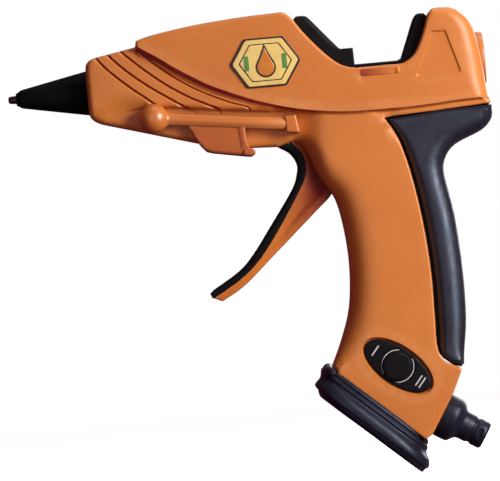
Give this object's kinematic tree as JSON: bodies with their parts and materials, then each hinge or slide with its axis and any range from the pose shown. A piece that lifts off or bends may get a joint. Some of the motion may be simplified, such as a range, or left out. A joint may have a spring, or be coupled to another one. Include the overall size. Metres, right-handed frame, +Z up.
{
  "type": "hot glue gun",
  "caption": "Full-size hot glue gun with a long trigger, open stick saddle, rubber rear grip, flat foot, heat dial and fold-out stand.",
  "frame": {"origin": "centre of the flat sole under the foot", "axes": "+X along the glue stick from the nozzle tip to the stick inlet, +Z up with the barrel level, +Y towards the right-hand side"},
  "size_m": [0.1926, 0.046, 0.1884],
  "materials": {
    "orange_shell": "fine spark-textured orange polyamide, semi-matt",
    "orange_trim": "smooth orange plastic, satin",
    "grip_rubber": "soft black overmould, fine grain",
    "black_plastic": "black moulded plastic, satin",
    "silicone": "matt black silicone",
    "steel": "machined, slightly heat-dulled",
    "aluminium": "die cast",
    "ceramic": "heat-resistant insulator, matt",
    "badge_print": "printed plate",
    "wire_jacket": "insulated lead"
  },
  "bodies": {
    "housing": {"left_housing": "orange_shell", "right_housing": "orange_shell", "left_grip": "grip_rubber", "right_grip": "grip_rubber", "front_guide": "black_plastic", "saddle_trough": "black_plastic", "rear_guide": "black_plastic", "stick_inlet_collar": "orange_trim", "nozzle_tip": "steel", "nozzle_boot": "silicone", "check_spring": "steel", "melt_chamber": "aluminium", "heater_plate": "ceramic", "heater_clip": "steel", "front_chamber_support": "ceramic", "rear_chamber_support": "ceramic", "inlet_sleeve": "silicone", "sleeve_clamp": "steel", "trigger_pin": "steel", "return_spring": "steel", "foot_base": "black_plastic", "foot_sole": "grip_rubber", "dial_plate": "black_plastic", "temperature_switch": "ceramic", "cord_gland": "grip_rubber", "left_badge": "badge_print", "right_badge": "badge_print", "housing_screw_1": "steel", "housing_screw_2": "steel", "housing_screw_3": "steel", "housing_screw_4": "steel", "housing_screw_5": "steel", "housing_screw_6": "steel", "housing_screw_7": "steel", "terminal_block": "ceramic", "cord_clamp": "black_plastic", "left_lead": "wire_jacket", "right_lead": "wire_jacket"},
    "trigger": {"trigger": "orange_trim", "trigger_pad": "grip_rubber"},
    "carriage": {"carriage": "black_plastic", "jaw_pin": "steel"},
    "jaw": {"gripper_jaw": "steel"},
    "stand": {"stand": "orange_trim"},
    "dial": {"dial_knob": "black_plastic"},
    "check_valve": {"check_ball": "steel"}
  },
  "joints": [
    {"name": "trigger_pull", "type": "hinge", "parent": "housing", "child": "trigger", "pos_m": [-0.01116, 0, 0.11543], "axis": [0, -1, 0], "range_deg": [0, 26], "stiffness_Nm_per_rad": 0.9, "springref_deg": -8.59},
    {"name": "carriage_slide", "type": "slide", "parent": "housing", "child": "carriage", "axis": [-1, 0, 0], "range_m": [0, 0.0084], "deforming": ["return_spring"]},
    {"name": "jaw_bite", "type": "hinge", "parent": "carriage", "child": "jaw", "pos_m": [-0.01706, 0, 0.15743], "axis": [0, -1, 0], "range_deg": [0, 8.2]},
    {"name": "stand_fold", "type": "hinge", "parent": "housing", "child": "stand", "pos_m": [-0.07506, 0, 0.13373], "axis": [0, 1, 0], "range_deg": [0, 92]},
    {"name": "dial_turn", "type": "hinge", "parent": "housing", "child": "dial", "pos_m": [0.01304, -0.0182, 0.02643], "axis": [0, -1, 0], "range_deg": [0, 90]},
    {"name": "check_valve_lift", "type": "slide", "parent": "housing", "child": "check_valve", "axis": [-1, 0, 0], "range_m": [0, 0.0012], "stiffness_N_per_m": 120}
  ],
  "couplings": [
    {"joint": "carriage_slide", "follows": "trigger_pull", "m_per_rad": 0.0183},
    {"joint": "jaw_bite", "follows": "trigger_pull", "ratio": 0.3077}
  ]
}
